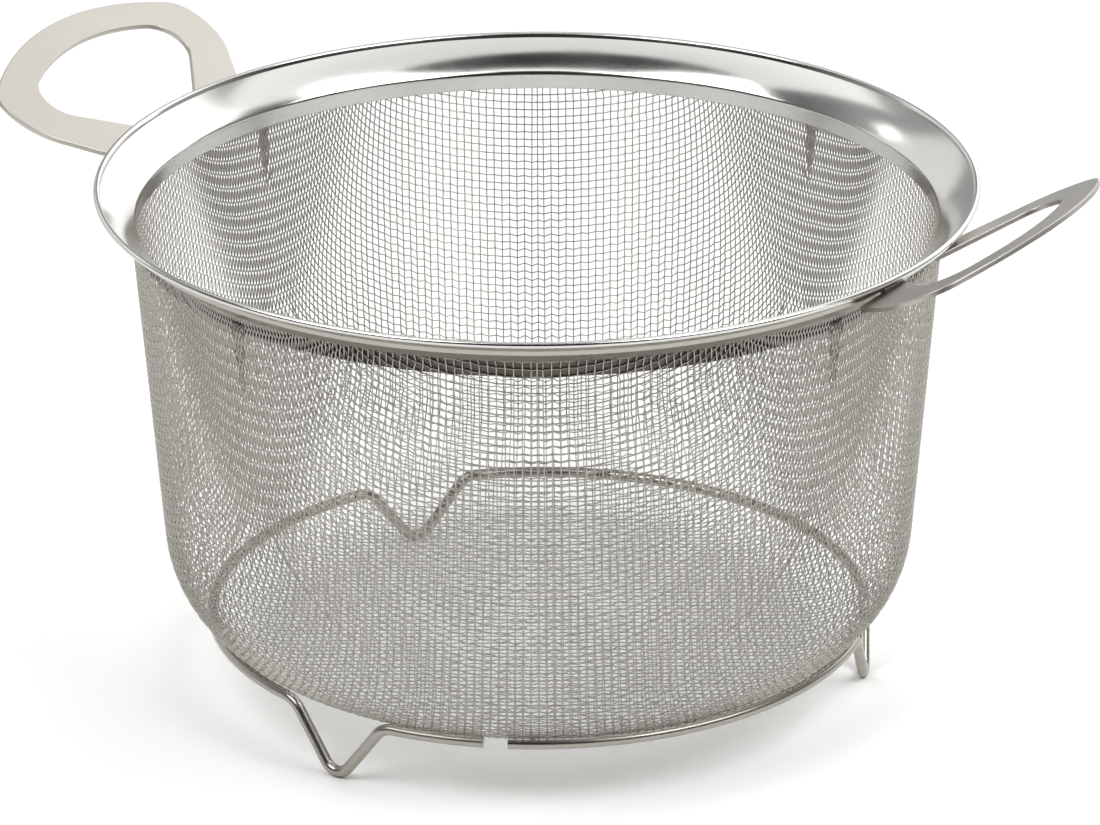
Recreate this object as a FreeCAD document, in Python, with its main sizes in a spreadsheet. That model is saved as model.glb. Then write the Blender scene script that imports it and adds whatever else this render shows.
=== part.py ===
import FreeCAD, Part

import math
import os

import Sketcher
from FreeCAD import Placement, Rotation, Vector

# Mesh basket strainer for honey. A deep woven basket hangs in a flared rim made of two sheet rings,
# two flat loop handles are welded under the rim, and a bent wire ring with three V-shaped feet
# carries the basket. Millimetres, +Z up, origin on the table under the centre, handles along X.

DIMENSIONS = {
    # rim: flared top ring with a rolled edge, bent down into a short skirt inside the basket
    "rim_radius": 117.0,
    "rim_height": 140.0,
    "edge_radius": 0.85,
    "edge_overlap": 0.55,
    "edge_neck": 0.25,
    "edge_drop": 0.2,
    "rim_sheet": 0.5,
    "flange_radius": 32.6,
    "flange_top_slope": 28.0,
    "flange_foot_slope": 48.4,
    "bend_radius": 2.0,
    "skirt_foot": 127.6,
    "fit_gap": 0.02,
    # backing ring that clamps the basket's edge against the flange from below
    "backing_inner_slope": 44.6,
    "backing_step_low_slope": 36.0,
    "backing_step_high_slope": 34.2,
    "backing_outer_slope": 29.4,
    # basket: the envelope of the woven mesh
    "mesh_thickness": 0.8,
    "mesh_edge_slope": 37.0,
    "basket_bottom": 12.8,
    "basket_taper": 4.4,
    "basket_corner_radius": 31.7,
    # base wire: ring under the basket's corner and three V-shaped feet
    "wire_radius": 1.5,
    "ring_radius": 88.65,
    "ring_height": 17.7,
    "foot_radius": 88.6,
    "foot_azimuth": 23.2,
    "foot_half_angle": 11.5,
    "foot_corner_run": 3.0,
    "foot_bend_radius": 4.6,
    "wire_gap_azimuth": 292.7,
    "wire_gap_angle": 4.2,
    # handles: flat stamped loops, sizes in the plate's own plane counted outwards from the rim
    "handle_plate": 1.3,
    "handle_edge_round": 0.3,
    "handle_slope": 28.5,
    "handle_drop": 1.1,
    "handle_reach": 40.5,
    "handle_tip_radius": 87.0,
    "handle_side_radius": 20.0,
    "handle_side_centre": 19.9,
    "handle_half_width": 46.0,
    "handle_outer_fillet": 9.0,
    "handle_arm_outer_angle": 40.0,
    "handle_band": 9.1,
    "handle_slot_tip_radius": 70.0,
    "handle_slot_corner_radius": 8.6,
    "handle_slot_half_width": 31.6,
    "handle_arm_inner_angle": 50.0,
    "handle_tuck": 4.0,
    "handle_end_fillet": 5.0,
    # welds
    "weld_radius": 0.85,
    "weld_length": 6.0,
    "weld_azimuth": 8.6,
    "weld_rise": 0.6,
    "spot_weld_radius": 1.35,
    "spot_weld_offset": 0.9,
}

FOOT_COUNT = 3
SPOTS_PER_SPAN = 2

doc = FreeCAD.newDocument("strainer")
sheet = doc.addObject("Spreadsheet::Sheet", "sizes")
for row, (alias, number) in enumerate(DIMENSIONS.items(), start=1):
    sheet.set(f"A{row}", alias)
    sheet.set(f"B{row}", str(number))
    sheet.setAlias(f"B{row}", alias)

# Sizes that follow from the driving ones: centres shared by the rim, the mesh and the backing ring.
DERIVED = {
    "flange_top_r": "rim_radius - 2 * edge_radius + edge_overlap - edge_neck",
    "flange_top_z": "rim_height - edge_drop",
    "flange_centre_r": "flange_top_r + flange_radius * sin(flange_top_slope)",
    "flange_centre_z": "flange_top_z - flange_radius * cos(flange_top_slope)",
    "bend_centre_r": "flange_centre_r - (flange_radius - bend_radius) * sin(flange_foot_slope)",
    "bend_centre_z": "flange_centre_z + (flange_radius - bend_radius) * cos(flange_foot_slope)",
    "mesh_face": "rim_sheet + fit_gap",
    "mesh_back": "mesh_face + mesh_thickness",
    "backing_face": "mesh_back + fit_gap",
    "backing_back": "backing_face + rim_sheet",
    "wall_r": "bend_centre_r - bend_radius + mesh_face + mesh_thickness / 2",
    "corner_z": "basket_bottom + mesh_thickness / 2 + basket_corner_radius",
    "wall_drop": "skirt_foot - corner_z + basket_corner_radius * sin(basket_taper)",
    "corner_r": "wall_r - wall_drop * tan(basket_taper) - basket_corner_radius * cos(basket_taper)",
}
for row, (alias, formula) in enumerate(DERIVED.items(), start=len(DIMENSIONS) + 2):
    sheet.set(f"A{row}", alias)
    sheet.set(f"B{row}", f"={formula}")
    sheet.setAlias(f"B{row}", alias)
doc.recompute()


def size(alias):
    """The number the sheet holds under an alias."""
    return float(sheet.get(alias))


def from_sheet(formula):
    """A formula over the sheet's aliases written the way an object outside the sheet reads it."""
    out = ""
    word = ""
    for letter in formula + " ":
        if letter.isalnum() or letter in "_.":
            word += letter
            continue
        known = word in DIMENSIONS or word in DERIVED
        out += (f"sizes.{word}" if known else word) + letter
        word = ""
    return out.strip()


def bind(thing, path, formula):
    """Ties a property of an object to a formula over the sheet's aliases."""
    thing.setExpression(path, from_sheet(formula))


def new_body(label):
    """An empty body whose label names its node."""
    body = doc.addObject("PartDesign::Body", label)
    body.Label = label
    return body


def new_sketch(body, name, role):
    """A sketch on one of the body's own origin planes."""
    sketch = body.newObject("Sketcher::SketchObject", name)
    plane = [item for item in body.Origin.OriginFeatures if item.Role == role][0]
    sketch.AttachmentSupport = [(plane, "")]
    sketch.MapMode = "FlatFace"
    return sketch


def arc_between(start, end, radius, turn):
    """The minor arc between two points, counter-clockwise; turn -1 bows to the left of the way there."""
    first, last = (start, end) if turn > 0 else (end, start)
    chord = last - first
    side = Vector(chord.y, -chord.x, 0).normalize()
    sagitta = radius - math.sqrt(radius**2 - (chord.Length / 2) ** 2)
    return Part.Arc(first, (first + last) * 0.5 + side * sagitta, last)


def draw_profile(sketch, corners, edges):
    """Draws a closed profile and ties every corner and every arc radius to the sheet.

    corners: (formula across, formula up) per corner; edges: None for a line to the next corner,
    or (radius formula, turn) for an arc to it.
    """
    evaluate = sheet.evalExpression
    points = [Vector(float(evaluate(across)), float(evaluate(up)), 0) for across, up in corners]
    for index, edge in enumerate(edges):
        start = points[index]
        end = points[(index + 1) % len(points)]
        if edge is None:
            sketch.addGeometry(Part.LineSegment(start, end))
        else:
            sketch.addGeometry(arc_between(start, end, float(evaluate(edge[0])), edge[1]))
    ends = [(1, 2) if edge is None or edge[1] > 0 else (2, 1) for edge in edges]
    for index in range(len(edges)):
        following = (index + 1) % len(edges)
        joint = Sketcher.Constraint("Coincident", index, ends[index][1], following, ends[following][0])
        sketch.addConstraint(joint)
    for index, (across, up) in enumerate(corners):
        vertex = ends[index][0]
        point = points[index]
        for kind, formula, value in (("DistanceX", across, point.x), ("DistanceY", up, point.y)):
            number = sketch.addConstraint(Sketcher.Constraint(kind, index, vertex, value))
            sketch.renameConstraint(number, f"{kind}{index}")
            bind(sketch, f"Constraints.{kind}{index}", formula)
    for index, edge in enumerate(edges):
        if edge is not None:
            number = sketch.addConstraint(Sketcher.Constraint("Radius", index, float(evaluate(edge[0]))))
            sketch.renameConstraint(number, f"Radius{index}")
            bind(sketch, f"Constraints.Radius{index}", edge[0])


def revolve(body, sketch, name):
    """Turns a sketch of the XZ plane once around the Z axis."""
    feature = body.newObject("PartDesign::Revolution", name)
    feature.Profile = sketch
    feature.ReferenceAxis = (sketch, ["V_Axis"])
    feature.Angle = 360.0
    doc.recompute()
    return feature


def on_flange(depth, slope):
    """Formulas of the point at a depth under the flange's top face where the face has that slope."""
    across = f"flange_centre_r - (flange_radius - {depth}) * sin({slope})"
    up = f"flange_centre_z + (flange_radius - {depth}) * cos({slope})"
    return across, up


def on_bend(depth, slope):
    """Formulas of the point at a depth under the face of the bend between flange and skirt."""
    across = f"bend_centre_r - (bend_radius - {depth}) * sin({slope})"
    up = f"bend_centre_z + (bend_radius - {depth}) * cos({slope})"
    return across, up


def flange_arc(depth, turn):
    """An arc that runs along the flange at a depth under its top face."""
    return f"flange_radius - {depth}", turn


def bend_arc(depth, turn):
    """An arc that runs around the bend at a depth under its face."""
    return f"bend_radius - {depth}", turn


def build_rim_top_ring():
    """Flared ring with its skirt, and the rolled edge around it."""
    body = new_body("rim_top_ring")
    sketch = new_sketch(body, "rim_section", "XZ_Plane")
    corners = [
        ("bend_centre_r - bend_radius", "skirt_foot"),
        ("bend_centre_r - bend_radius + rim_sheet", "skirt_foot"),
        on_bend("rim_sheet", "90"),
        on_flange("rim_sheet", "flange_foot_slope"),
        on_flange("rim_sheet", "flange_top_slope"),
        on_flange("0", "flange_top_slope"),
        on_flange("0", "flange_foot_slope"),
        on_bend("0", "90"),
    ]
    edges = [
        None,
        None,
        bend_arc("rim_sheet", -1),
        flange_arc("rim_sheet", -1),
        None,
        flange_arc("0", 1),
        bend_arc("0", 1),
        None,
    ]
    draw_profile(sketch, corners, edges)
    revolve(body, sketch, "rim_turned")
    edge = new_sketch(body, "rolled_edge_section", "XZ_Plane")
    centre = Vector(size("rim_radius") - size("edge_radius"), size("rim_height"), 0)
    edge.addGeometry(Part.Circle(centre, Vector(0, 0, 1), size("edge_radius")))
    formulas = {"Radius": "edge_radius", "DistanceX": "rim_radius - edge_radius", "DistanceY": "rim_height"}
    for kind, formula in formulas.items():
        start = {"Radius": size("edge_radius"), "DistanceX": centre.x, "DistanceY": centre.y}[kind]
        where = (0,) if kind == "Radius" else (0, 3)
        number = edge.addConstraint(Sketcher.Constraint(kind, *where, start))
        edge.renameConstraint(number, f"edge{kind}")
        bind(edge, f"Constraints.edge{kind}", formula)
    revolve(body, edge, "rolled_edge")
    return body


def build_rim_backing_ring():
    """Ring under the flange: it steps up where the basket's edge ends."""
    body = new_body("rim_backing_ring")
    sketch = new_sketch(body, "backing_section", "XZ_Plane")
    corners = [
        on_flange("backing_back", "backing_inner_slope"),
        on_flange("backing_back", "backing_step_low_slope"),
        on_flange("(mesh_face + rim_sheet)", "backing_step_high_slope"),
        on_flange("(mesh_face + rim_sheet)", "backing_outer_slope"),
        on_flange("mesh_face", "backing_outer_slope"),
        on_flange("mesh_face", "backing_step_high_slope"),
        on_flange("backing_face", "backing_step_low_slope"),
        on_flange("backing_face", "backing_inner_slope"),
    ]
    edges = [
        flange_arc("backing_back", -1),
        None,
        flange_arc("(mesh_face + rim_sheet)", -1),
        None,
        flange_arc("mesh_face", 1),
        None,
        flange_arc("backing_face", 1),
        None,
    ]
    draw_profile(sketch, corners, edges)
    revolve(body, sketch, "backing_turned")
    return body


def build_mesh_basket():
    """Envelope of the woven basket, from its flat bottom to the edge clamped under the flange."""
    body = new_body("mesh_basket")
    sketch = new_sketch(body, "basket_section", "XZ_Plane")
    half = "mesh_thickness / 2"
    outer = f"(basket_corner_radius + {half})"
    inner = f"(basket_corner_radius - {half})"
    corners = [
        ("0", "basket_bottom"),
        ("corner_r", "basket_bottom"),
        (f"corner_r + {outer} * cos(basket_taper)", f"corner_z - {outer} * sin(basket_taper)"),
        (f"wall_r + {half}", f"skirt_foot - {half} * tan(basket_taper / 2)"),
        on_bend("mesh_back", "90"),
        on_flange("mesh_back", "flange_foot_slope"),
        on_flange("mesh_back", "mesh_edge_slope"),
        on_flange("mesh_face", "mesh_edge_slope"),
        on_flange("mesh_face", "flange_foot_slope"),
        on_bend("mesh_face", "90"),
        (f"wall_r - {half}", f"skirt_foot + {half} * tan(basket_taper / 2)"),
        (f"corner_r + {inner} * cos(basket_taper)", f"corner_z - {inner} * sin(basket_taper)"),
        ("corner_r", "basket_bottom + mesh_thickness"),
        ("0", "basket_bottom + mesh_thickness"),
    ]
    edges = [
        None,
        (outer, 1),
        None,
        None,
        bend_arc("mesh_back", -1),
        flange_arc("mesh_back", -1),
        None,
        flange_arc("mesh_face", 1),
        bend_arc("mesh_face", 1),
        None,
        None,
        (inner, -1),
        None,
        None,
    ]
    draw_profile(sketch, corners, edges)
    revolve(body, sketch, "basket_turned")
    return body


def tangent_arc(before, corner, after, radius):
    """Rounds the corner between two straight runs: the arc and its two ends."""
    back = (before - corner).normalize()
    ahead = (after - corner).normalize()
    half = math.acos(back.dot(ahead)) / 2
    start = corner + back * (radius / math.tan(half))
    end = corner + ahead * (radius / math.tan(half))
    bisector = (back + ahead).normalize()
    centre = corner + bisector * (radius / math.sin(half))
    return Part.Arc(start, centre - bisector * radius, end), start, end


def ring_point(azimuth):
    """Point of the base ring's centre line."""
    angle = math.radians(azimuth)
    radius = size("ring_radius")
    return Vector(radius * math.cos(angle), radius * math.sin(angle), size("ring_height"))


def ring_arc(start, end):
    """Part of the base ring's centre line between two azimuths."""
    return Part.Arc(ring_point(start), ring_point((start + end) / 2), ring_point(end)).toShape()


def foot_path(azimuth):
    """Centre line of one V-shaped foot between the two ring ends beside it."""
    angle = math.radians(azimuth)
    half_angle = math.radians(size("foot_half_angle"))
    outward = Vector(math.cos(angle), math.sin(angle), 0)
    along = Vector(-math.sin(angle), math.cos(angle), 0)
    run = size("foot_corner_run")
    ring = size("ring_radius")
    corner_r = ring * math.cos(half_angle) + run * math.sin(half_angle)
    half_width = ring * math.sin(half_angle) - run * math.cos(half_angle)
    level = Vector(0, 0, size("ring_height"))
    toe = outward * size("foot_radius") + Vector(0, 0, size("wire_radius"))
    head = outward * corner_r + level
    up = (head - toe).normalize()
    bend = size("foot_bend_radius")
    rise = (head - toe).Length - bend
    reach = math.hypot(half_width, rise)
    lean = math.atan2(half_width, rise) - math.asin(bend / reach)
    sharp_toe = toe + up * (bend - bend / math.sin(lean))
    corners = [head - along * half_width, sharp_toe, head + along * half_width]
    first = ring_point(azimuth - size("foot_half_angle"))
    last = ring_point(azimuth + size("foot_half_angle"))
    turn = math.acos((corners[0] - first).normalize().dot((corners[1] - corners[0]).normalize()))
    top_bend = run / math.tan(turn / 2)
    down_arc, _, leg_start = tangent_arc(first, corners[0], corners[1], top_bend)
    toe_arc, toe_start, toe_end = tangent_arc(corners[0], corners[1], corners[2], bend)
    up_arc, leg_end, _ = tangent_arc(corners[1], corners[2], last, top_bend)
    return [
        down_arc.toShape(),
        Part.LineSegment(leg_start, toe_start).toShape(),
        toe_arc.toShape(),
        Part.LineSegment(toe_end, leg_end).toShape(),
        up_arc.toShape(),
    ]


def build_base_wire():
    """One length of round wire: ring arcs and V-shaped feet in turn, with a gap between its cut ends."""
    step = 360.0 / FOOT_COUNT
    half_gap = size("wire_gap_angle") / 2
    half_foot = size("foot_half_angle")
    start = size("wire_gap_azimuth") - 360.0 + half_gap
    edges = []
    for foot in range(FOOT_COUNT):
        azimuth = size("foot_azimuth") + foot * step
        edges.append(ring_arc(start, azimuth - half_foot))
        edges.extend(foot_path(azimuth))
        start = azimuth + half_foot
    edges.append(ring_arc(start, size("wire_gap_azimuth") - half_gap))
    path = doc.addObject("Part::Feature", "base_wire_path")
    path.Shape = Part.Wire(edges)
    first = path.Shape.OrderedEdges[0]
    begin = first.valueAt(first.FirstParameter)
    section = doc.addObject("Part::Circle", "base_wire_section")
    bind(section, "Radius", "wire_radius")
    section.Placement = Placement(begin, Rotation(Vector(0, 0, 1), first.tangentAt(first.FirstParameter)))
    sweep = doc.addObject("Part::Sweep", "base_wire")
    sweep.Sections = [section]
    sweep.Spine = (path, [f"Edge{number + 1}" for number in range(len(edges))])
    sweep.Solid = True
    sweep.Frenet = False
    sweep.Label = "base_wire"
    doc.recompute()
    return sweep


def circle_crossing(centre_a, radius_a, centre_b, radius_b):
    """The crossing of two circles that lies on the +Y side."""
    gap = centre_b - centre_a
    along = (gap.Length**2 + radius_a**2 - radius_b**2) / (2 * gap.Length)
    height = math.sqrt(radius_a**2 - along**2)
    unit = Vector(gap).normalize()
    options = [centre_a + unit * along + Vector(-unit.y, unit.x, 0) * height * side for side in (1, -1)]
    return max(options, key=lambda point: point.y)


def toward(start, target, distance):
    """The point at a distance from start on the way through target."""
    return start + (target - start).normalize() * distance


def line_meets_circle(start, direction, centre, radius):
    """First point where a line from outside a circle enters it."""
    offset = start - centre
    half = offset.dot(direction)
    return start + direction * (-half - math.sqrt(half**2 - offset.dot(offset) + radius**2))


def handle_half_outline():
    """Upper half of the handle's two edges, from the tip to the arm end and back to the slot's tip."""
    tip = size("handle_tip_radius")
    tip_centre = Vector(size("handle_reach") - tip, 0, 0)
    side = size("handle_side_radius")
    side_centre = Vector(size("handle_side_centre"), size("handle_half_width") - side, 0)
    fillet = size("handle_outer_fillet")
    fillet_centre = circle_crossing(tip_centre, tip - fillet, side_centre, side - fillet)
    tip_end = toward(tip_centre, fillet_centre, tip)
    side_start = toward(side_centre, fillet_centre, side)
    outer_angle = math.radians(size("handle_arm_outer_angle"))
    side_end = side_centre + Vector(-math.sin(outer_angle), math.cos(outer_angle), 0) * side
    slot_tip = size("handle_slot_tip_radius")
    slot_centre = Vector(size("handle_reach") - size("handle_band") - slot_tip, 0, 0)
    corner = size("handle_slot_corner_radius")
    corner_y = size("handle_slot_half_width") - corner
    corner_x = slot_centre.x + math.sqrt((slot_tip - corner) ** 2 - corner_y**2)
    corner_centre = Vector(corner_x, corner_y, 0)
    slot_tip_end = toward(slot_centre, corner_centre, slot_tip)
    inner_angle = math.radians(size("handle_arm_inner_angle"))
    slot_line = corner_centre + Vector(-math.sin(inner_angle), math.cos(inner_angle), 0) * corner
    slope = math.radians(size("handle_slope"))
    end_radius = (size("rim_radius") - size("handle_tuck")) * math.cos(slope)
    end_centre = Vector(-size("handle_tuck") / math.cos(slope) - end_radius, 0, 0)
    outer_way = Vector(-math.cos(outer_angle), -math.sin(outer_angle), 0)
    inner_way = Vector(-math.cos(inner_angle), -math.sin(inner_angle), 0)
    arm_inner = line_meets_circle(slot_line, inner_way, end_centre, end_radius)
    end_fillet = size("handle_end_fillet")
    inside = Vector(outer_way.y, -outer_way.x, 0) * end_fillet
    if inside.y > 0:
        inside = inside * -1
    round_centre = line_meets_circle(side_end + inside, outer_way, end_centre, end_radius + end_fillet)
    arm_outer = round_centre - inside
    end_outer = toward(end_centre, round_centre, end_radius)
    return {
        "tip": Vector(size("handle_reach"), 0, 0),
        "tip_end": tip_end,
        "fillet_middle": toward(fillet_centre, (tip_end + side_start) * 0.5, fillet),
        "side_start": side_start,
        "side_middle": toward(side_centre, (side_start + side_end) * 0.5, side),
        "side_end": side_end,
        "arm_outer": arm_outer,
        "round_middle": toward(round_centre, (arm_outer + end_outer) * 0.5, end_fillet),
        "end_outer": end_outer,
        "end_middle": toward(end_centre, (end_outer + arm_inner) * 0.5, end_radius),
        "arm_inner": arm_inner,
        "slot_line": slot_line,
        "corner_middle": toward(corner_centre, (slot_line + slot_tip_end) * 0.5, corner),
        "slot_tip_end": slot_tip_end,
        "slot_tip": Vector(size("handle_reach") - size("handle_band"), 0, 0),
    }


def build_handle(label, turn):
    """A flat stamped loop whose two arms end under the rim; turn is its azimuth."""
    body = new_body(label)
    sketch = new_sketch(body, f"{label}_outline", "XY_Plane")
    half = handle_half_outline()
    flipped = {name: Vector(point.x, -point.y, 0) for name, point in half.items()}
    for name_side in (half, flipped):
        p = name_side
        sketch.addGeometry(Part.Arc(p["tip_end"], p["fillet_middle"], p["side_start"]))
        sketch.addGeometry(Part.Arc(p["side_start"], p["side_middle"], p["side_end"]))
        sketch.addGeometry(Part.LineSegment(p["side_end"], p["arm_outer"]))
        sketch.addGeometry(Part.Arc(p["arm_outer"], p["round_middle"], p["end_outer"]))
        sketch.addGeometry(Part.Arc(p["end_outer"], p["end_middle"], p["arm_inner"]))
        sketch.addGeometry(Part.LineSegment(p["arm_inner"], p["slot_line"]))
        sketch.addGeometry(Part.Arc(p["slot_line"], p["corner_middle"], p["slot_tip_end"]))
    sketch.addGeometry(Part.Arc(half["tip_end"], half["tip"], flipped["tip_end"]))
    sketch.addGeometry(Part.Arc(half["slot_tip_end"], half["slot_tip"], flipped["slot_tip_end"]))
    pad = body.newObject("PartDesign::Pad", f"{label}_plate")
    pad.Profile = sketch
    pad.Reversed = True
    bind(pad, "Length", "handle_plate")
    doc.recompute()
    faces = [face for face in pad.Shape.Faces if abs(face.CenterOfMass.z) < 1e-6]
    rounding = body.newObject("PartDesign::Fillet", f"{label}_rounded")
    edges = [number for number, edge in enumerate(pad.Shape.Edges, start=1)
             if any(edge.isSame(other) for other in faces[0].Edges)]
    rounding.Base = (pad, [f"Edge{number}" for number in edges])
    bind(rounding, "Radius", "handle_edge_round")
    doc.recompute()
    sideways = Rotation(Vector(0, 0, 1), turn)
    sign = 1 if turn == 0 else -1
    body.Placement = Placement(
        Vector(sign * size("rim_radius"), 0, size("rim_height") - size("handle_drop")),
        sideways * Rotation(Vector(0, 1, 0), -size("handle_slope")),
    )
    bind(body, "Placement.Base.x", f"{sign} * rim_radius")
    bind(body, "Placement.Base.z", "rim_height - handle_drop")
    doc.recompute()
    return body


def build_handle_welds(label, handle, backing, turn):
    """Two short weld beads that fill the gap between a handle's arms and the backing ring."""
    beads = []
    slope = math.radians(size("handle_slope"))
    radial = size("rim_radius") - size("handle_tuck") + 1.5 * size("weld_radius")
    for number, side in enumerate((-1, 1), start=1):
        azimuth = math.radians(turn + side * size("weld_azimuth"))
        across = radial * math.cos(math.radians(size("weld_azimuth")))
        plate_z = size("rim_height") - size("handle_drop") - (size("rim_radius") - across) * math.tan(slope)
        bead = doc.addObject("Part::Cylinder", f"{label}_rod_{number}")
        bind(bead, "Radius", "weld_radius")
        bind(bead, "Height", "weld_length")
        along = Vector(-math.sin(azimuth), math.cos(azimuth), 0)
        height = plate_z + size("weld_rise")
        middle = Vector(radial * math.cos(azimuth), radial * math.sin(azimuth), height)
        start = middle - along * (size("weld_length") / 2)
        bead.Placement = Placement(start, Rotation(Vector(0, 0, 1), along))
        beads.append(bead)
    return finish_welds(label, beads, [handle, backing])


def build_base_wire_welds(wire, basket):
    """Spot welds between the base ring and the basket's corner."""
    spots = []
    step = 360.0 / FOOT_COUNT
    free = step - 2 * size("foot_half_angle")
    lean = math.atan2(size("corner_z") - size("ring_height"), size("ring_radius") - size("corner_r"))
    inward = Vector(-math.cos(lean), 0, math.sin(lean)) * size("spot_weld_offset")
    for foot in range(FOOT_COUNT):
        for place in range(SPOTS_PER_SPAN):
            share = (place + 0.5) / SPOTS_PER_SPAN
            azimuth = size("foot_azimuth") + foot * step + size("foot_half_angle") + share * free
            spot = doc.addObject("Part::Sphere", f"spot_weld_{len(spots) + 1}")
            bind(spot, "Radius", "spot_weld_radius")
            middle = Vector(size("ring_radius"), 0, size("ring_height")) + inward
            turn = Rotation(Vector(0, 0, 1), azimuth)
            spot.Placement = Placement(turn.multVec(middle), turn)
            spots.append(spot)
    return finish_welds("base_wire_welds", spots, [wire, basket])


def finish_welds(label, blobs, neighbours):
    """Joins weld blobs into one node and trims them to the faces they are fused to."""
    group = doc.addObject("Part::MultiFuse", f"{label}_blobs")
    group.Shapes = blobs
    trimmed = group
    doc.recompute()
    for number, neighbour in enumerate(neighbours, start=1):
        cut = doc.addObject("Part::Cut", f"{label}_trim_{number}")
        cut.Base = trimmed
        cut.Tool = neighbour
        doc.recompute()
        trimmed = cut
    trimmed.Label = label
    return trimmed


rim = build_rim_top_ring()
backing = build_rim_backing_ring()
basket = build_mesh_basket()
wire = build_base_wire()
handle_right = build_handle("handle_right", 0)
handle_left = build_handle("handle_left", 180)
right_welds = build_handle_welds("handle_right_welds", handle_right, backing, 0)
left_welds = build_handle_welds("handle_left_welds", handle_left, backing, 180)
wire_welds = build_base_wire_welds(wire, basket)
doc.recompute()

for item in doc.Objects:
    wrong = [state for state in item.State if state in ("Invalid", "Error")]
    if wrong:
        raise SystemExit(f"{item.Label}: {wrong}")

os.makedirs("parts", exist_ok=True)
for node in (rim, backing, basket, wire, handle_right, handle_left, right_welds, left_welds, wire_welds):
    shape = node.Shape
    if shape.isNull() or not shape.isValid() or shape.Volume <= 0:
        raise SystemExit(f"{node.Label}: no sound solid")
    shape.exportStep(f"parts/{node.Label}.step")
    print(node.Label, len(shape.Solids), round(shape.Volume, 1), shape.BoundBox)
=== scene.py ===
"""A wire-mesh honey strainer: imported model, woven wire, turned steel and studio light."""

import logging
import math
from dataclasses import dataclass, field
from enum import Enum

import bpy
import numpy as np
from mathutils import Matrix, Vector


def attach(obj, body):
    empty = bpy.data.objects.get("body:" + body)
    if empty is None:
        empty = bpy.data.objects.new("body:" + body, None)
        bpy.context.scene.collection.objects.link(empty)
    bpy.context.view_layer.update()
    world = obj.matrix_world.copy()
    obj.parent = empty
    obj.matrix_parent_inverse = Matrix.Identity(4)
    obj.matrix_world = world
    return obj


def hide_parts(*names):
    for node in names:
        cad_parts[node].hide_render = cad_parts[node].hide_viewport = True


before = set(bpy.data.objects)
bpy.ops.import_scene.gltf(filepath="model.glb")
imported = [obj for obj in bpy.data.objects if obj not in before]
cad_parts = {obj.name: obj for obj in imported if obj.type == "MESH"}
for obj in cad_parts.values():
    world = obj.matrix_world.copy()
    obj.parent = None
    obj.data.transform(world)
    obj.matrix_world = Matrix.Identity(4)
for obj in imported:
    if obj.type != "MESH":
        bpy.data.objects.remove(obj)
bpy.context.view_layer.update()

LOG = logging.getLogger("strainer")
MM = 0.001
CLOUD_MM = 24.0
GRAIN_RADIUS = 0.11


def linear(hex_colour: str) -> tuple[float, float, float, float]:
    """Turns an sRGB hex colour into the linear RGBA that shaders take.

    Args:
        hex_colour: Six hex digits after a hash sign.

    Returns:
        Linear red, green, blue and an alpha of one.
    """
    parts = [int(hex_colour[i : i + 2], 16) / 255 for i in (1, 3, 5)]
    lin = [p / 12.92 if p <= 0.04045 else ((p + 0.055) / 1.055) ** 2.4 for p in parts]
    return (lin[0], lin[1], lin[2], 1.0)


def add_node(
    tree: bpy.types.NodeTree, kind: str, links: dict | None = None, **settings
) -> bpy.types.Node:
    """Adds a shader node with its settings, input values and incoming links.

    Args:
        tree: The node tree that takes the node.
        kind: The node's type name.
        links: Input name or number to a socket to link from, or to a constant value.
        **settings: Properties set on the node itself.

    Returns:
        The new node.
    """
    node = tree.nodes.new(kind)
    for key, value in settings.items():
        setattr(node, key, value)
    for key, value in (links or {}).items():
        if isinstance(value, bpy.types.NodeSocket):
            tree.links.new(value, node.inputs[key])
        else:
            node.inputs[key].default_value = value
    return node


class Grain(Enum):
    """How the surface texture of a steel runs: round the axis, or alike in every direction."""

    CIRCULAR = "circular"
    EVEN = "even"


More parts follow.
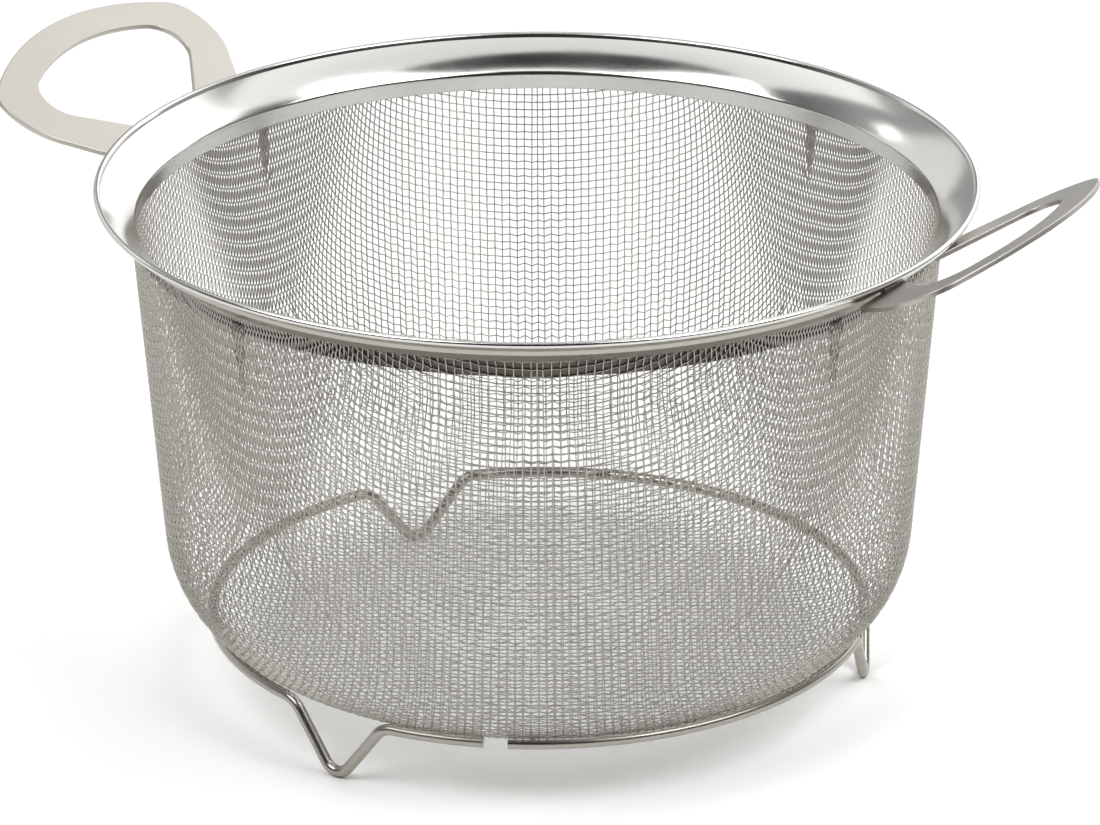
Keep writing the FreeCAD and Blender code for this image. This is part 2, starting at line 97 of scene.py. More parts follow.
@dataclass(frozen=True)
class SteelFinish:
    """A stainless steel surface as it left its last process, or one darkened to paint shade.

    The spread is how far the roughness wanders, the grain is the fine tooling texture, and the waviness
    is the slow unevenness of pressed sheet.
    """

    name: str
    colour: str
    roughness: float
    spread: float
    grain: Grain
    grain_mm: float
    grain_depth_mm: float
    waviness_mm: float = 0.0
    waviness_size_mm: float = 18.0

    def material(self) -> bpy.types.Material:
        """Builds the material: metal, uneven gloss, fine grain and slow waviness.

        Returns:
            A material named after the finish.
        """
        mat = bpy.data.materials.new(self.name)
        mat.use_nodes = True
        tree = mat.node_tree
        tree.nodes.clear()
        out = tree.nodes.new("ShaderNodeOutputMaterial")
        place = add_node(tree, "ShaderNodeTexCoord")
        coords = place.outputs["Object"]
        if self.grain is Grain.CIRCULAR:
            # Lines left by a turning buff follow the rim: long along the azimuth, fine across it.
            turned = add_node(tree, "ShaderNodeUVMap", uv_map="turned")
            stretch = add_node(
                tree, "ShaderNodeMapping", {"Vector": turned.outputs[0], "Scale": (12.0, 1000.0, 1.0)}
            )
            grain_at = stretch.outputs[0]
            scale = 1.0 / self.grain_mm
        else:
            grain_at = coords
            scale = 1000.0 / self.grain_mm
        fine = add_node(
            tree,
            "ShaderNodeTexNoise",
            {"Vector": grain_at, "Scale": scale, "Detail": 3.0, "Roughness": 0.6},
        )
        # Handling and cleaning leave broad clouds that are a little duller or glossier.
        cloud = add_node(
            tree,
            "ShaderNodeTexNoise",
            {"Vector": coords, "Scale": 1000.0 / CLOUD_MM, "Detail": 4.0, "Roughness": 0.6},
        )
        gloss = add_node(
            tree,
            "ShaderNodeMapRange",
            {
                "Value": cloud.outputs[0],
                "From Min": 0.3,
                "From Max": 0.7,
                "To Min": self.roughness - self.spread,
                "To Max": self.roughness + self.spread,
            },
        )
        # Slow waves bend the reflections, as in any pressed sheet; the grain then softens them.
        slow = add_node(
            tree,
            "ShaderNodeTexNoise",
            {"Vector": coords, "Scale": 1000.0 / self.waviness_size_mm, "Detail": 1.0},
        )
        wavy = add_node(
            tree,
            "ShaderNodeBump",
            {"Height": slow.outputs[0], "Strength": 1.0, "Distance": self.waviness_mm * MM},
        )
        grained = add_node(
            tree,
            "ShaderNodeBump",
            {
                "Height": fine.outputs[0],
                "Strength": 1.0,
                "Distance": self.grain_depth_mm * MM,
                "Normal": wavy.outputs[0],
            },
        )
        shader = add_node(
            tree,
            "ShaderNodeBsdfPrincipled",
            {
                "Base Color": linear(self.colour),
                "Metallic": 1.0,
                "Roughness": gloss.outputs[0],
                "Normal": grained.outputs[0],
            },
        )
        tree.links.new(shader.outputs[0], out.inputs["Surface"])
        return mat


# Near-mirror with faint lines round the rim: long soft highlights.
RIM_POLISHED = SteelFinish(
    "buffed stainless rim sheet", "#d2d1ce", 0.16, 0.03, Grain.CIRCULAR, 0.5, 0.0004, waviness_mm=0.05
)
# Rougher than the buffed face; its dark colour is painted shade for the outer skirt and the bend under the
# flange, seen behind the mesh.
RIM_PAINTED_SHADE = SteelFinish(
    "rim skirt painted shade steel", "#5e5952", 0.42, 0.05, Grain.CIRCULAR, 0.4, 0.001
)
# Mill finish: an even grey sheen below the rim's edge.
BACKING = SteelFinish("rolled stainless backing sheet", "#aca8a1", 0.3, 0.04, Grain.CIRCULAR, 0.4, 0.001)
# Every wire carries a thin soft highlight along its length.
MESH_WIRE = SteelFinish("drawn stainless weaving wire", "#b0ada6", 0.32, 0.05, Grain.EVEN, 0.3, 0.001)
# Darker core and one bright line, as on thick drawn wire.
BASE_WIRE = SteelFinish("drawn stainless base wire", "#a5a19a", 0.28, 0.05, Grain.EVEN, 0.4, 0.002)
# Satin with a fine speckle from tumbling.
HANDLE = SteelFinish("tumbled stainless plate", "#b7b3ac", 0.36, 0.03, Grain.EVEN, 0.35, 0.003)
# Dull and rough beside the sheet it joins.
WELD = SteelFinish("fused weld steel", "#8d8780", 0.45, 0.08, Grain.EVEN, 0.8, 0.06)


def surface_piece(
    name: str,
    verts: np.ndarray,
    quads: np.ndarray,
    smooth_angle: float,
    uv: np.ndarray | None = None,
) -> bpy.types.Object:
    """Makes a mesh object from whole arrays.

    Args:
        name: The piece's name.
        verts: Points in metres, one per row.
        quads: Corner numbers, four per row.
        smooth_angle: Edges sharper than this angle in degrees stay sharp.
        uv: Optional map point per face corner, named "turned".

    Returns:
        The linked object.
    """
    mesh = bpy.data.meshes.new(name)
    mesh.vertices.add(len(verts))
    mesh.vertices.foreach_set("co", np.ascontiguousarray(verts, dtype=np.float32).ravel())
    mesh.loops.add(quads.size)
    mesh.loops.foreach_set("vertex_index", quads.astype(np.int32).ravel())
    mesh.polygons.add(len(quads))
    mesh.polygons.foreach_set("loop_start", np.arange(len(quads), dtype=np.int32) * quads.shape[1])
    mesh.polygons.foreach_set("use_smooth", np.ones(len(quads), dtype=bool))
    if uv is not None:
        layer = mesh.uv_layers.new(name="turned")
        layer.uv.foreach_set("vector", uv.astype(np.float32).ravel())
    mesh.update(calc_edges=True)
    mesh.validate()
    mesh.set_sharp_from_angle(angle=math.radians(smooth_angle))
    piece = bpy.data.objects.new(name, mesh)
    bpy.context.scene.collection.objects.link(piece)
    return piece


def arc_points(
    centre: tuple[float, float], radius: float, start: float, end: float, count: int
) -> np.ndarray:
    """Points of an arc given by surface slopes: centre + radius * (-sin(slope), cos(slope)).

    Args:
        centre: Radius and height of the centre, mm.
        radius: Arc radius, mm.
        start: First slope in degrees.
        end: Last slope in degrees.
        count: Number of points.

    Returns:
        Radius and height per row, mm.
    """
    slope = np.radians(np.linspace(start, end, count))
    return np.stack([centre[0] - radius * np.sin(slope), centre[1] + radius * np.cos(slope)], axis=1)


@dataclass
class RimGeometry:
    """Section of the rim, shared by the rings and the mesh, in mm of radius and height."""

    flange_centre: tuple[float, float] = (130.905, 111.016)
    flange_radius: float = 32.6
    top_slope: float = 28.0
    foot_slope: float = 48.4
    bend_centre: tuple[float, float] = (108.022, 131.332)
    bend_radius: float = 2.0
    skirt_foot: float = 127.6
    sheet: float = 0.5
    edge_centre: tuple[float, float] = (116.15, 140.0)
    edge_radius: float = 0.85
    chamfer: float = 0.12


def turned_piece(
    name: str, section: np.ndarray, steps: int, smooth_angle: float = 35.0
) -> bpy.types.Object:
    """Turns a closed section once around the upright axis: (r cos a, r sin a, z) over azimuth a.

    Args:
        name: The piece's name.
        section: Closed section, radius and height per row in mm, clockwise with radius to the right.
        steps: Number of azimuth steps.
        smooth_angle: Edges sharper than this stay sharp.

    Returns:
        The new object, with a map of arc length along the azimuth and along the section, in metres.
    """
    azimuth = np.linspace(0.0, 2 * np.pi, steps, endpoint=False)
    count = len(section)
    ring = np.stack([np.cos(azimuth), np.sin(azimuth)], axis=1)
    verts = np.empty((steps, count, 3))
    verts[:, :, :2] = ring[:, None, :] * section[None, :, :1]
    verts[:, :, 2] = section[None, :, 1]
    a = np.arange(steps)[:, None]
    b = np.arange(count)[None, :]
    a_next, b_next = (a + 1) % steps, (b + 1) % count
    here, there = a * count, a_next * count
    quads = np.stack([here + b, here + b_next, there + b_next, there + b], axis=-1)
    closed = np.vstack([section, section[:1]])
    run = np.concatenate([[0.0], np.cumsum(np.hypot(*np.diff(closed, axis=0).T))]) * MM
    around = np.linspace(0.0, 2 * np.pi * GRAIN_RADIUS, steps + 1)
    u = np.broadcast_to(around[:-1, None], (steps, count))
    u2 = np.broadcast_to(around[1:, None], (steps, count))
    v = np.broadcast_to(run[None, :-1], (steps, count))
    v2 = np.broadcast_to(run[None, 1:], (steps, count))
    corners = [np.stack(pair, -1) for pair in ((u, v), (u, v2), (u2, v2), (u2, v))]
    uv = np.stack(corners, -2).reshape(-1, 2)
    return surface_piece(name, verts.reshape(-1, 3) * MM, quads.reshape(-1, 4), smooth_angle, uv)


@dataclass
class Rim:
    """The flared top ring with its rolled edge and skirt; its last section faces, the outer skirt and the
    bend under the flange, take a darker steel as painted shade.
    """

    shape: RimGeometry = field(default_factory=RimGeometry)
    steps: int = 720
    # Number of last section rows whose faces get the darker steel: painted shade under the flange.
    underside: int = 20

    def top_section(self) -> np.ndarray:
        """Section of the top ring: skirt, bend, flange, rolled edge and back along the underside.

        Returns:
            Closed section in mm.
        """
        g = self.shape
        face_r = g.bend_centre[0] - g.bend_radius
        back_r = face_r + g.sheet
        turn = np.radians(np.linspace(152.0, -128.0, 34))
        edge = np.array(g.edge_centre) + g.edge_radius * np.stack([np.cos(turn), np.sin(turn)], 1)
        # The skirt's foot is chamfered, and its inner face stops just below the bend.
        foot = g.skirt_foot + g.chamfer
        inner = np.linspace(foot, g.bend_centre[1] - 0.05, 12)
        outer = np.linspace(g.bend_centre[1] - 0.3, foot, 8)
        parts = [
            np.stack([np.full_like(inner, face_r), inner], 1),
            arc_points(g.bend_centre, g.bend_radius, 90.0, g.foot_slope, 14),
            arc_points(g.flange_centre, g.flange_radius, g.foot_slope - 0.5, g.top_slope + 0.9, 36),
            edge,
            arc_points(g.flange_centre, g.flange_radius - g.sheet, g.top_slope + 0.9, g.foot_slope, 30),
            arc_points(g.bend_centre, g.bend_radius - g.sheet, g.foot_slope + 2, 90.0, 10),
            np.stack([np.full_like(outer, back_r), outer], 1),
            np.array([[back_r - g.chamfer, g.skirt_foot], [face_r + g.chamfer, g.skirt_foot]]),
        ]
        return np.vstack(parts)

    def build(self) -> list[bpy.types.Object]:
        """Makes the top ring.

        Returns:
            The new pieces.
        """
        top = turned_piece("rim_top_ring_turned", self.top_section(), self.steps)
        top.data.materials.append(RIM_POLISHED.material())
        top.data.materials.append(RIM_PAINTED_SHADE.material())
        count = len(self.top_section())
        # Painted shade: the outer skirt and the bend under the flange get the dark steel for the shade and
        # dark reflections there.
        painted_shade = np.tile(np.arange(count) >= count - self.underside, self.steps)
        top.data.polygons.foreach_set("material_index", painted_shade.astype(np.int32))
        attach(top, "root")
        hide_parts("rim_top_ring")
        LOG.info("rim: flared top ring")
        return [top]


@dataclass
class BasketProfile:
    """Middle line of the mesh: flat bottom, round corner, tapered wall, bend and clamped edge (mm)."""

    corner_r: float = 68.785
    corner_z: float = 44.9
    corner_radius: float = 31.7
    taper: float = math.radians(4.4)
    wall_r: float = 106.942
    wall_top: float = 127.6
    bend: tuple[float, float] = (108.022, 131.332)
    bend_radius: float = 1.08
    flange: tuple[float, float] = (130.905, 111.016)
    flange_radius: float = 31.68
    foot_slope: float = math.radians(48.4)
    edge_slope: float = math.radians(37.0)
    corner_top: float = 45.0

    def table(self) -> tuple[np.ndarray, np.ndarray]:
        """Samples the middle line.

        Returns:
            Radius and height per row, and the arc length of each row.
        """
        corner = np.linspace(0, np.pi / 2 - self.taper, 80)
        bend = np.linspace(np.pi / 2, self.foot_slope, 12)
        flare = np.linspace(self.foot_slope, math.radians(25.0), 40)[1:]
        middle = np.array([self.corner_r, self.corner_z])
        rows = np.vstack(
            [
                [[0.0, self.corner_z - self.corner_radius]],
                middle + self.corner_radius * np.stack([np.sin(corner), -np.cos(corner)], 1),
                [[self.wall_r, self.wall_top]],
                np.array(self.bend) + self.bend_radius * np.stack([-np.sin(bend), np.cos(bend)], 1),
                np.array(self.flange) + self.flange_radius * np.stack([-np.sin(flare), np.cos(flare)], 1),
            ]
        )
        return rows, np.concatenate([[0.0], np.cumsum(np.hypot(*np.diff(rows, axis=0).T))])

    def project(self, points: np.ndarray) -> tuple[np.ndarray, np.ndarray]:
        """Moves points to the nearest place of the turned middle line.

        Args:
            points: Positions, mm, last axis x, y, z.

        Returns:
            Positions on the surface and outward unit normals.
        """
        r = np.maximum(np.hypot(points[..., 0], points[..., 1]), 1e-9)
        z = points[..., 2]
        sin_t, cos_t = math.sin(self.taper), math.cos(self.taper)
        foot_r = self.corner_r + self.corner_radius * cos_t
        foot_z = self.corner_z - self.corner_radius * sin_t
        length = (self.wall_top - foot_z) / cos_t
        along = (r - foot_r) * sin_t + (z - foot_z) * cos_t
        clipped = np.clip(along, 0.0, length)
        upright = along > length
        new_r = np.where(upright, self.wall_r, foot_r + clipped * sin_t)
        new_z = np.where(upright, z, foot_z + clipped * cos_t)
        n_r = np.where(upright, 1.0, cos_t)
        n_z = np.where(upright, 0.0, -sin_t)
        dr, dz = r - self.corner_r, z - self.corner_z
        far = np.hypot(dr, dz) + 1e-9
        round_ = (along < 0) & (dr > 0)
        flat = (along < 0) & (dr <= 0)
        new_r = np.where(round_, self.corner_r + dr / far * self.corner_radius, np.where(flat, r, new_r))
        bottom = self.corner_z - self.corner_radius
        new_z = np.where(flat, bottom, new_z)
        new_z = np.where(round_, self.corner_z + dz / far * self.corner_radius, new_z)
        n_r = np.where(round_, dr / far, np.where(flat, 0.0, n_r))
        n_z = np.where(round_, dz / far, np.where(flat, -1.0, n_z))
        high = z > self.bend[1]
        slope = np.arctan2(self.flange[0] - r, z - self.flange[1])
        flared = high & (slope < self.foot_slope)
        new_r = np.where(flared, self.flange[0] - self.flange_radius * np.sin(slope), new_r)
        new_z = np.where(flared, self.flange[1] + self.flange_radius * np.cos(slope), new_z)
        n_r = np.where(flared, np.sin(slope), n_r)
        n_z = np.where(flared, -np.cos(slope), n_z)
        turn = np.clip(np.arctan2(z - self.bend[1], self.bend[0] - r), 0.0, np.pi / 2 - self.foot_slope)
        bent = high & ~flared
        new_r = np.where(bent, self.bend[0] - self.bend_radius * np.cos(turn), new_r)
        new_z = np.where(bent, self.bend[1] + self.bend_radius * np.sin(turn), new_z)
        n_r = np.where(bent, np.cos(turn), n_r)
        n_z = np.where(bent, -np.sin(turn), n_z)
        ux, uy = points[..., 0] / r, points[..., 1] / r
        return np.stack([ux * new_r, uy * new_r, new_z], -1), np.stack([ux * n_r, uy * n_r, n_z], -1)


@dataclass
class WovenNet:
    """A square weave drawn into the basket's shape.

    The crossings keep their distance along every wire and slide in shear, as woven wire does in a
    drawing press. One quarter is solved and mirrored. Crossings that crowd the diagonals then move apart.
    """

    profile: BasketProfile = field(default_factory=BasketProfile)
    pitch: float = 2.166
    half_count: int = 104
    rounds: int = 460
    tightest: float = 0.55
    locked: float = 1.08
    settling: int = 24
    mean_radius: float = 106.0
    settling_step: float = 0.3

    def start(self) -> np.ndarray:
        """First guess: straight wires on the bottom, and curves on the wall that turn towards upright.

        Returns:
            Positions of one quarter, mm.
        """
        rows, run = self.profile.table()
        place = np.arange(self.half_count) * self.pitch
        x, y = np.meshgrid(place, place, indexing="ij")
        mean = self.mean_radius
        cx, cy = np.clip(x / mean, 0, 1), np.clip(y / mean, 0, 1)
        side_x = 0.5 * (cx * np.sqrt(1 - cx * cx) + np.arcsin(cx))
        side_y = 0.5 * (cy * np.sqrt(1 - cy * cy) + np.arcsin(cy))
        rise = 0.5 * mean * (cx * cx + cy * cy - 1) + np.maximum(x - mean, 0) + np.maximum(y - mean, 0)
        reach = np.hypot(x, y)
        mix = np.clip((reach - 60.0) / 50.0, 0, 1)
        on_wall = np.clip(side_y - side_x + np.pi / 4, 0, np.pi / 2)
        azimuth = np.arctan2(y, x + 1e-9) * (1 - mix) + on_wall * mix
        length = np.minimum(np.where(reach < mean, reach, mean + rise), run[-1] + 30.0)
        over = np.maximum(length - run[-1], 0)
        r = np.interp(length, run, rows[:, 0]) + over * 0.8
        z = np.interp(length, run, rows[:, 1]) + over * 0.5
        return np.stack([r * np.cos(azimuth), r * np.sin(azimuth), z], -1)

    @staticmethod
    def pull(a: np.ndarray, b: np.ndarray, length: float, only_apart: bool = False) -> None:
        """Moves two arrays of points towards a distance, half each: a += d (l - L) / 2l, b -= the same.

        Args:
            a: First points, changed in place.
            b: Second points, changed in place.
            length: The distance wanted.
            only_apart: Only push pairs that are closer than that.
        """
        gap = b - a
        now = np.linalg.norm(gap, axis=-1, keepdims=True) + 1e-9
        move = gap * ((now - length) / now * 0.5)
        if only_apart:
            move = np.where(now < length, move, 0.0)
        a += move
        b -= move

    def solve(self) -> np.ndarray:
        """Relaxes the quarter until its wires keep their pitch on the surface.

        Returns:
            Positions of one quarter's crossings, mm.
        """
        p = self.start()
        n = self.half_count
        for _ in range(self.rounds):
            for odd in (0, 1):
                m = (n - odd) // 2
                self.pull(p[odd::2][:m], p[odd + 1 :: 2][:m], self.pitch)
                self.pull(p[:, odd::2][:, :m], p[:, odd + 1 :: 2][:, :m], self.pitch)
            for odd_i in (0, 1):
                mi = (n - odd_i) // 2
                for odd_j in (0, 1):
                    mj = (n - odd_j) // 2
                    low, high = p[odd_i::2][:mi], p[odd_i + 1 :: 2][:mi]
                    near, far = slice(odd_j, None, 2), slice(odd_j + 1, None, 2)
                    self.pull(low[:, far][:, :mj], high[:, near][:, :mj], self.tightest, True)
                    self.pull(low[:, near][:, :mj], high[:, far][:, :mj], self.tightest, True)
            p[0, :, 0] = 0.0
            p[:, 0, 1] = 0.0
            np.maximum(p[..., :2], 0.0, out=p[..., :2])
            p = self.profile.project(p)[0]
        return p

    def spread_shear(self, p: np.ndarray) -> np.ndarray:
        """Opens the crowded diagonals until neighbouring crossings lie at the locked distance.

        A crossing k steps from the diagonal, now d beside it, goes to the smooth maximum of d and
        e = locked * k, which is (d + e + sqrt((d - e)^2 + (e / 5)^2)) / 2. The moved crossings then settle
        towards their neighbours' mean.

        Args:
            p: Crossings of one quarter, mm.

        Returns:
            The moved crossings.
        """
        radius = np.maximum(np.hypot(p[..., 0], p[..., 1]), 1e-6)
        beside = (np.arctan2(p[..., 1], p[..., 0] + 1e-9) - np.pi / 4) * radius
        count = np.arange(self.half_count)
        steps = (count[None, :] - count[:, None]) / 2.0
        now, least = np.abs(beside), np.abs(steps) * self.locked
        moved = 0.5 * (now + least + np.sqrt((now - least) ** 2 + (0.2 * least) ** 2))
        azimuth = np.pi / 4 + np.sign(steps) * np.minimum(moved, np.pi / 4 * radius) / radius
        high = p[..., 2] > self.profile.corner_top
        azimuth = np.where(high, azimuth, np.pi / 4 + beside / radius)
        p = np.stack([radius * np.cos(azimuth), radius * np.sin(azimuth), p[..., 2]], -1)
        crowded = np.clip((1.25 * least - now) / (0.3 * least + 0.2), 0, 1) * high
        share = crowded[1:-1, 1:-1, None] * self.settling_step
        for _ in range(self.settling):
            mean = 0.25 * (p[2:, 1:-1] + p[:-2, 1:-1] + p[1:-1, 2:] + p[1:-1, :-2])
            p[1:-1, 1:-1] += share * (mean - p[1:-1, 1:-1])
            p = self.profile.project(p)[0]
        return p

    def full(self) -> tuple[np.ndarray, np.ndarray, np.ndarray]:
        """Mirrors the quarter and finds which crossings lie inside the clamped edge.

        Returns:
            Positions, outward normals, and a mask of the crossings that exist.
        """
        quarter = self.spread_shear(self.solve())
        index = np.abs(np.arange(-self.half_count + 1, self.half_count))
        sign = np.sign(np.arange(-self.half_count + 1, self.half_count))
        sign[sign == 0] = 1
        p = quarter[index][:, index].copy()
        p[..., 0] *= sign[:, None]
        p[..., 1] *= sign[None, :]
        p, normal = self.profile.project(p)
        inward = self.profile.flange[0] - np.hypot(p[..., 0], p[..., 1])
        slope = np.arctan2(inward, p[..., 2] - self.profile.flange[1])
        beyond = (p[..., 2] > self.profile.bend[1]) & (slope < self.profile.edge_slope)
        return p, normal, ~beyond


@dataclass
class WovenBasket:
    """The basket of woven wire: round wires that pass over and under each other at every crossing."""

    net: WovenNet = field(default_factory=WovenNet)
    wire_radius: float = 0.19
    sides: int = 6
    pleat_foot: float = 104.0
    pleat_top: float = 128.0
    pleat_end: float = 132.0
    pleat_width: float = 5.0
    pleat_gap: float = 0.5
    weave_turn: float = math.radians(30.0)

    def wires(
        self, p: np.ndarray, normal: np.ndarray, there: np.ndarray, lift: np.ndarray
    ) -> tuple[np.ndarray, np.ndarray]:
        """Sweeps a ring of points along every wire of one direction.

        The ring at a crossing is p + lift N + r (cos b N + sin b T x N), b around the wire.

        Args:
            p: Crossings, second axis along the wires.
            normal: Outward normals.
            there: Mask of crossings that exist.
            lift: Height of the wire over the surface at each crossing.

        Returns:
            Vertices in mm and quads.
        """
        centre = p + normal * lift[..., None]
        ahead = np.gradient(centre, axis=1)
        ahead /= np.linalg.norm(ahead, axis=-1, keepdims=True) + 1e-9
        across = np.cross(ahead, normal)
        across /= np.linalg.norm(across, axis=-1, keepdims=True) + 1e-9
        up = np.cross(across, ahead)
        turn = np.arange(self.sides) / self.sides * 2 * np.pi
        ring = (
            centre[:, :, None]
            + self.wire_radius * np.cos(turn)[None, None, :, None] * up[:, :, None]
            + self.wire_radius * np.sin(turn)[None, None, :, None] * across[:, :, None]
        )
        number = np.full(there.shape, -1)
        number[there] = np.arange(there.sum())
        verts = ring[there].reshape(-1, 3)
        pair = there[:, :-1] & there[:, 1:]
        a = number[:, :-1][pair][:, None] * self.sides + np.arange(self.sides)[None]
        b = number[:, 1:][pair][:, None] * self.sides + np.arange(self.sides)[None]
        quads = np.stack([a, np.roll(a, -1, 1), np.roll(b, -1, 1), b], -1).reshape(-1, 4)
        before = np.zeros_like(there)
        before[:, 1:] = there[:, :-1]
        after = np.zeros_like(there)
        after[:, :-1] = there[:, 1:]
        first = number[there & ~before][:, None] * self.sides
        last = number[there & ~after][:, None] * self.sides
        caps = [first + order for order in ([3, 2, 1, 0], [5, 4, 3, 0])]
        caps += [last + order for order in ([0, 1, 2, 3], [0, 3, 4, 5])]
        return verts, np.vstack([quads, *caps])

    def pleats(
        self, p: np.ndarray, normal: np.ndarray, there: np.ndarray
    ) -> tuple[np.ndarray, np.ndarray]:
        """Finds the crossings that lie in the four pleats and lifts them off the wall as a folded layer.

        A pleat is a wedge, narrow at its foot and widest under the rim:
        width = w (z - foot) / (top - foot), as far up as the mesh goes under the rim.

        Args:
            p: Crossings, unturned, mm.
            normal: Outward normals.
            there: Mask of crossings that exist.

        Returns:
            Positions of the folded layer and its mask.
        """
        beside = np.abs(np.abs(p[..., 0]) - np.abs(p[..., 1])) / math.sqrt(2)
        share = np.clip((p[..., 2] - self.pleat_foot) / (self.pleat_top - self.pleat_foot), 0, 1)
        inside = there & (beside < 0.5 * self.pleat_width * share) & (p[..., 2] < self.pleat_end)
        return p + normal * (self.pleat_gap * np.sqrt(share))[..., None], inside

    def build(self) -> list[bpy.types.Object]:
        """Weaves the basket.

        Returns:
            The four pieces: both wire directions, each in two halves.
        """
        p, normal, there = self.net.full()
        fold, folded = self.pleats(p, normal, there)
        cos_t, sin_t = math.cos(self.weave_turn), math.sin(self.weave_turn)
        turn = np.array([[cos_t, sin_t, 0], [-sin_t, cos_t, 0], [0, 0, 1]])
        p, normal, fold = p @ turn, normal @ turn, fold @ turn
        count = p.shape[0]
        parity = np.where((np.add.outer(np.arange(count), np.arange(count)) % 2) == 0, 1.0, -1.0)
        lift = parity * self.wire_radius
        material = MESH_WIRE.material()
        middle = count // 2
        pieces = []
        for family, swap, sign in (("warp", False, 1.0), ("weft", True, -1.0)):
            arrays = (p, normal, there, lift * sign, fold, folded)
            turned = [np.swapaxes(a, 0, 1) if swap else a for a in arrays]
            for half, rows in (("a", slice(0, middle)), ("b", slice(middle, count))):
                cross, out, real, rise, layer, in_layer = (a[rows] for a in turned)
                verts, quads = self.wires(cross, out, real, rise)
                more, faces = self.wires(layer, out, in_layer, -rise)
                verts, quads = np.vstack([verts, more]), np.vstack([quads, faces + len(verts)])
                piece = surface_piece(f"mesh_{family}_{half}", verts * MM, quads, 180.0)
                piece.data.materials.append(material)
                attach(piece, "root")
                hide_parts("mesh_basket")
                pieces.append(piece)
                LOG.info("mesh: %s %s, %d quads", family, half, len(quads))
        return pieces


@dataclass
class PlainParts:
    """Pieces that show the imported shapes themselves, given their steel finishes."""

    finishes: dict[str, SteelFinish] = field(
        default_factory=lambda: {
            "rim_backing_ring": BACKING,
            "base_wire": BASE_WIRE,
            "handle_left": HANDLE,
            "handle_right": HANDLE,
            "handle_left_welds": WELD,
            "handle_right_welds": WELD,
            "base_wire_welds": WELD,
        }
    )

    def build(self) -> None:
        """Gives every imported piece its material."""
        made = {}
        for node, finish in self.finishes.items():
            if finish.name not in made:
                made[finish.name] = finish.material()
            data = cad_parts[node].data
            data.materials.clear()
            data.materials.append(made[finish.name])
            LOG.info("packed piece: %s", node)


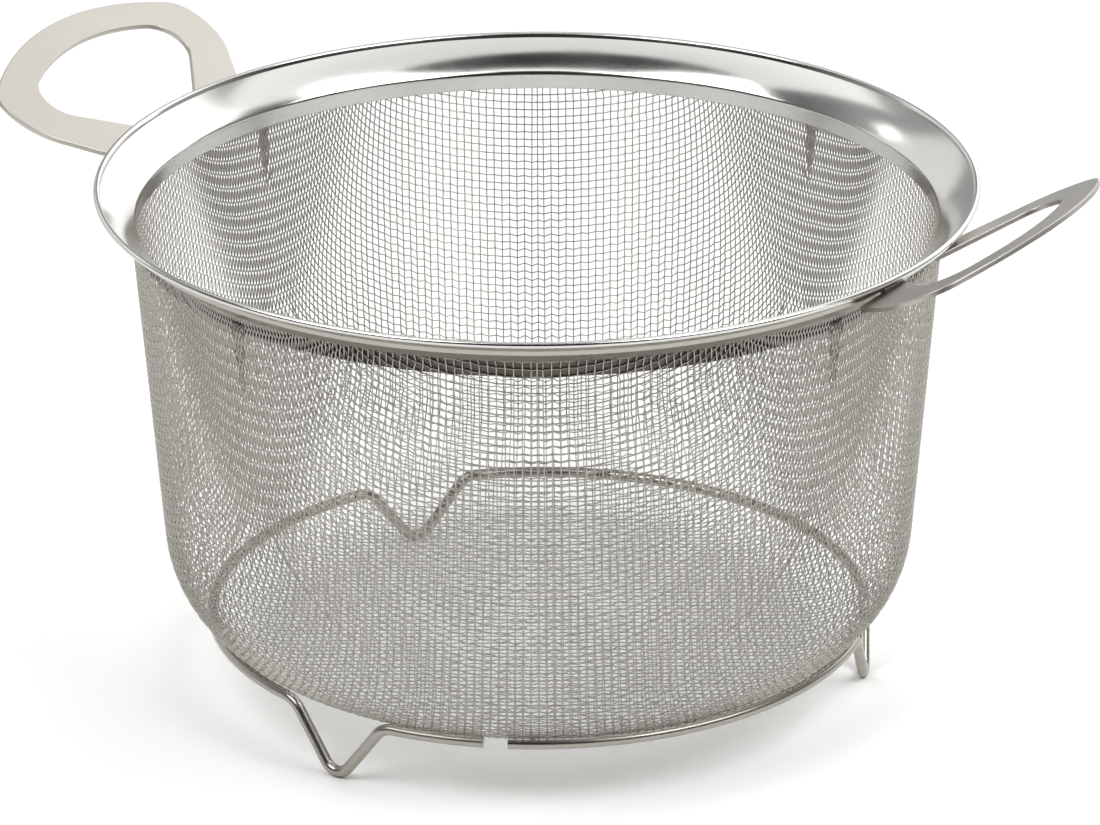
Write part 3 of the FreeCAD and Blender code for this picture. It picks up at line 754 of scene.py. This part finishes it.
@dataclass
class Studio:
    """Pale floor, soft light and the camera."""

    turn: float = 30.0

    def direction(self, azimuth: float, elevation: float) -> Vector:
        """Unit vector of a direction seen from the strainer.

        Args:
            azimuth: Degrees to the right of the way from camera to strainer.
            elevation: Degrees above the horizon.

        Returns:
            The unit vector.
        """
        a, e = math.radians(90.0 + self.turn - azimuth), math.radians(elevation)
        return Vector((math.cos(a) * math.cos(e), math.sin(a) * math.cos(e), math.sin(e)))

    def softbox(
        self,
        name: str,
        azimuth: float,
        elevation: float,
        distance: float,
        size: tuple[float, float],
        glow: float,
    ) -> bpy.types.Object:
        """Adds a rectangular soft light that faces the strainer.

        Args:
            name: The light's name.
            azimuth: Degrees to the right of the way from camera to strainer.
            elevation: Degrees above the horizon.
            distance: Metres from the rim's centre.
            size: Width and height in metres.
            glow: Radiance of the box; white paper under an even sky of one glows one.

        Returns:
            The light object.
        """
        light = bpy.data.lights.new(name, "AREA")
        light.shape = "RECTANGLE"
        light.size, light.size_y = size
        light.energy = glow * math.pi * size[0] * size[1]
        lamp = bpy.data.objects.new(name, light)
        bpy.context.scene.collection.objects.link(lamp)
        way = self.direction(azimuth, elevation)
        lamp.location = Vector((0, 0, 0.12)) + way * distance
        lamp.visible_camera = False
        lamp.rotation_euler = way.to_track_quat("Z", "Y").to_euler()
        return lamp

    def camera(self) -> None:
        """Places the camera in front of the strainer, looking down at it."""
        data = bpy.data.cameras.new("camera")
        data.sensor_width = 36.0
        data.lens = 198.65
        data.clip_end = 50.0
        cam = bpy.data.objects.new("camera", data)
        bpy.context.scene.collection.objects.link(cam)
        forward = Vector((-0.46098, 0.79843, -0.38731)).normalized()
        right = Vector((math.cos(math.radians(self.turn)), math.sin(math.radians(self.turn)), 0.0))
        up = right.cross(forward)
        roll = math.radians(-0.249)
        cos_r, sin_r = math.cos(roll), math.sin(roll)
        right, up = right * cos_r + up * sin_r, up * cos_r - right * sin_r
        spot = Vector((2.751, 1.589, 73.3)) * MM - forward * (1629.05 * MM)
        cam.matrix_world = Matrix(
            [
                [right.x, up.x, -forward.x, spot.x],
                [right.y, up.y, -forward.y, spot.y],
                [right.z, up.z, -forward.z, spot.z],
                [0, 0, 0, 1],
            ]
        )
        bpy.context.scene.camera = cam

    def build(self) -> None:
        """Sets floor, world, lights and camera."""
        floor_mesh = bpy.data.meshes.new("floor")
        floor_mesh.from_pydata([(-6, -6, 0), (6, -6, 0), (6, 6, 0), (-6, 6, 0)], [], [(0, 1, 2, 3)])
        floor = bpy.data.objects.new("floor", floor_mesh)
        bpy.context.scene.collection.objects.link(floor)
        paper = bpy.data.materials.new("white paper sweep")
        paper.use_nodes = True
        shader = paper.node_tree.nodes["Principled BSDF"]
        shader.inputs["Base Color"].default_value = linear("#f4f4f3")
        shader.inputs["Roughness"].default_value = 0.9
        floor_mesh.materials.append(paper)
        world = bpy.data.worlds.new("studio air")
        world.use_nodes = True
        tree = world.node_tree
        look = add_node(tree, "ShaderNodeTexCoord")
        card = -self.direction(0.0, -28.0)
        toward = add_node(
            tree,
            "ShaderNodeVectorMath",
            {0: look.outputs["Generated"], 1: tuple(card)},
            operation="DOT_PRODUCT",
        )
        # The room is pale behind the strainer and dark on the camera's side: dark lines in the steel.
        shade = {"From Min": -0.1, "From Max": 0.35, "To Min": 0.4, "To Max": 0.03}
        air = add_node(tree, "ShaderNodeMapRange", {"Value": toward.outputs["Value"], **shade})
        tree.links.new(air.outputs[0], tree.nodes["Background"].inputs[0])
        bpy.context.scene.world = world
        self.softbox("overhead box", 12.0, 72.0, 1.5, (2.4, 1.05), 1.05)
        self.softbox("front strip", 180.0, 66.3, 1.6, (1.8, 0.2), 1.7)
        self.softbox("right back screen", 34.0, 24.0, 1.7, (1.7, 1.3), 1.45)
        self.softbox("left back screen", -42.0, 16.0, 1.8, (1.6, 0.9), 0.6)
        self.softbox("left back spot", -46.0, 31.0, 1.6, (0.2, 0.16), 2.4)
        self.softbox("right key", 122.0, 48.0, 1.7, (1.3, 1.0), 5.0)
        self.softbox("left key", -122.0, 48.0, 1.7, (1.3, 1.0), 4.3)
        self.camera()
        bpy.context.scene.view_settings.view_transform = "Standard"


def main() -> None:
    """Builds the strainer and the studio."""
    logging.basicConfig(level=logging.INFO, format="%(name)s: %(message)s")
    Rim().build()
    WovenBasket().build()
    PlainParts().build()
    Studio().build()


if __name__ == "__main__":
    main()
